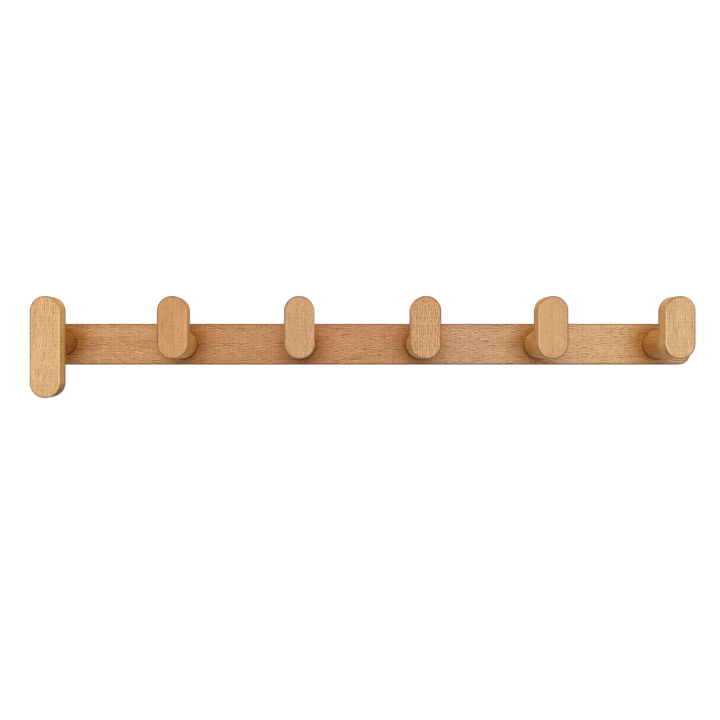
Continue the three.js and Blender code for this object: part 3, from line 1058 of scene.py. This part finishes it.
def hanger_piece(side):
    """A steel plate with round ends, its keyhole, and countersunk holes for its screws."""
    node = f"{side}_hanger_plate"
    low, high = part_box(node)
    centre = (low + high) / 2
    length, height = high.x - low.x, high.z - low.z
    corner = height / 2 - ARC_GAP
    round_over = [(i * HANGER_EDGE, d * HANGER_EDGE) for i, d in quarter(HANGER_EDGE_STEPS)]

    def ring(inset, y):
        return at(rounded_rectangle(length, height, corner, inset), centre.x, y, centre.z)

    rings = [ring(inset, high.y - depth) for inset, depth in round_over]
    rings += [ring(inset, low.y + depth) for inset, depth in reversed(round_over)]
    piece = loft(f"{node}_fine", rings)
    start, end = low.y - CUT_PAST, high.y + CUT_PAST
    keyhole = keyhole_outline()
    cutters = [loft("keyhole", [at(keyhole, centre.x, y, centre.z) for y in (start, end)])]
    cutters += [screw_hole(f"{side}_hanger_screw_{n}", "hanger", start) for n in HANGER_SCREWS]
    cut(piece, cutters)
    smooth(piece)
    dress(piece, ZINC_STEEL, node)


# The rack ------------------------------------------------------------------------------

# Each piece's own colour of wood, and how strongly its figure shows. The posts' tints also paint
# in shade, most on post 1, which stands in the long plate's shadow.
BOARD_TINT = (1.05, 1.09, 1.17)
BOARD_FIGURE = 1.12
PLATE_TINTS = {
    1: (1.08, 1.15, 1.16),
    2: (0.94, 0.86, 0.79),
    3: (0.95, 0.96, 1.08),
    4: (0.92, 0.87, 0.88),
    5: (0.98, 0.97, 1.03),
    6: (1.05, 1.14, 1.25),
}
PLATE_FIGURES = {1: 1.15, 2: 0.85, 3: 1.1, 4: 1.9, 5: 0.65, 6: 1.05}
POST_TINTS = {
    1: (0.74, 0.50, 0.22),
    2: (1.08, 1.00, 0.92),
    3: (1.05, 1.05, 1.00),
    4: (1.05, 1.05, 1.00),
    5: (1.06, 1.02, 0.95),
    6: (0.93, 0.83, 0.60),
}

board_piece(BOARD_TINT, BOARD_FIGURE)
for number in HOOKS:
    plate_piece(number, PLATE_TINTS[number], PLATE_FIGURES[number])
    post_piece(number, POST_TINTS[number])
    dowel_piece(number)
    screw_piece(f"hook_{number}_screw", "hook")
for side in SIDES:
    hanger_piece(side)
    for number in HANGER_SCREWS:
        screw_piece(f"{side}_hanger_screw_{number}", "hanger")


# Studio --------------------------------------------------------------------------------

FLOOR_REACH = 6.0
FLOOR_DROP = 0.85
WHITE = (1, 1, 1, 1)

WORLD_SEEN = 1.05  # how bright the world looks behind the rack
WORLD_BELOW = 0.36  # how brightly it lights the rack from below
WORLD_ABOVE = 0.88  # and from above
WORLD_BLEND = 0.6  # how far above and below the horizon the one changes to the other

# The camera stands a little left of the board's middle and a little below it. Its shift puts
# the rack where the photo has it.
EYE_X = -0.0303
EYE_Z = -0.004
EYE_DISTANCE = 0.629  # in front of the plates
LENS_WIDTH = 36.0
LENS_LENGTH = 31.9
LENS_SHIFT = (0.039, -0.0167)
LENS_REACH = (0.01, 50.0)


def floor():
    """A wide, plain, pale floor, well below the rack, which hangs on a wall."""
    corners = [(x * FLOOR_REACH, y * FLOOR_REACH, -FLOOR_DROP)
               for x, y in ((-1, -1), (1, -1), (1, 1), (-1, 1))]
    bm = bmesh.new()
    bm.faces.new([bm.verts.new(corner) for corner in corners])
    mesh = bpy.data.meshes.new("floor")
    bm.to_mesh(mesh)
    bm.free()
    t = Tree("pale_floor")
    mesh.materials.append(t.finish(t.node("ShaderNodeBsdfPrincipled", {
        "Base Color": (0.93, 0.93, 0.92, 1),
        "Roughness": 0.8,
        "Emission Color": WHITE,
        "Emission Strength": 0.65,
    })))
    ground = link("floor", mesh)
    ground.visible_diffuse = False


def softbox(name, place, width, height, watts):
    """A soft light that is aimed at the middle of the board's back."""
    light = bpy.data.lights.new(name, "AREA")
    light.shape = "RECTANGLE"
    light.size, light.size_y = width, height
    light.energy = watts
    lamp = bpy.data.objects.new(name, light)
    lamp.location = place
    lamp.rotation_euler = (-Vector(place)).to_track_quat("-Z", "Y").to_euler()
    bpy.context.scene.collection.objects.link(lamp)


def studio_world():
    """White behind everything, and a weaker white that lights the rack from all round, weaker
    from below than from above."""
    world = bpy.data.worlds.new("studio")
    world.use_nodes = True
    nodes, links = world.node_tree.nodes, world.node_tree.links
    nodes.clear()
    direction = nodes.new("ShaderNodeTexCoord")
    parts = nodes.new("ShaderNodeSeparateXYZ")
    height = nodes.new("ShaderNodeMapRange")
    height.interpolation_type = "SMOOTHSTEP"
    height.inputs["From Min"].default_value = -WORLD_BLEND
    height.inputs["From Max"].default_value = WORLD_BLEND
    height.inputs["To Min"].default_value = WORLD_BELOW
    height.inputs["To Max"].default_value = WORLD_ABOVE
    seen = nodes.new("ShaderNodeBackground")
    seen.inputs["Color"].default_value = WHITE
    seen.inputs["Strength"].default_value = WORLD_SEEN
    light = nodes.new("ShaderNodeBackground")
    light.inputs["Color"].default_value = WHITE
    path = nodes.new("ShaderNodeLightPath")
    mix = nodes.new("ShaderNodeMixShader")
    out = nodes.new("ShaderNodeOutputWorld")
    links.new(direction.outputs["Generated"], parts.inputs[0])
    links.new(parts.outputs["Z"], height.inputs["Value"])
    links.new(height.outputs["Result"], light.inputs["Strength"])
    links.new(path.outputs["Is Camera Ray"], mix.inputs[0])
    links.new(light.outputs[0], mix.inputs[1])
    links.new(seen.outputs[0], mix.inputs[2])
    links.new(mix.outputs[0], out.inputs["Surface"])
    bpy.context.scene.world = world


def camera():
    """The camera, square on to the board."""
    lens = bpy.data.cameras.new("camera")
    lens.sensor_width = LENS_WIDTH
    lens.lens = LENS_LENGTH
    lens.shift_x, lens.shift_y = LENS_SHIFT
    lens.clip_start, lens.clip_end = LENS_REACH
    eye = bpy.data.objects.new("camera", lens)
    eye.location = (EYE_X, CAD_LOW.y - EYE_DISTANCE, EYE_Z)
    eye.rotation_euler = (math.pi / 2, 0, 0)
    bpy.context.scene.collection.objects.link(eye)
    bpy.context.scene.camera = eye


floor()
softbox("key", (-0.2, -1.9, 1.5), width=1.8, height=1.4, watts=18)
softbox("front_fill", (0.3, -2.6, 0.2), width=2.4, height=1.6, watts=8)
softbox("rear_fill", (0.4, 2.4, 0.5), width=2.4, height=1.6, watts=10)
studio_world()
camera()
bpy.context.scene.view_settings.view_transform = "Standard"
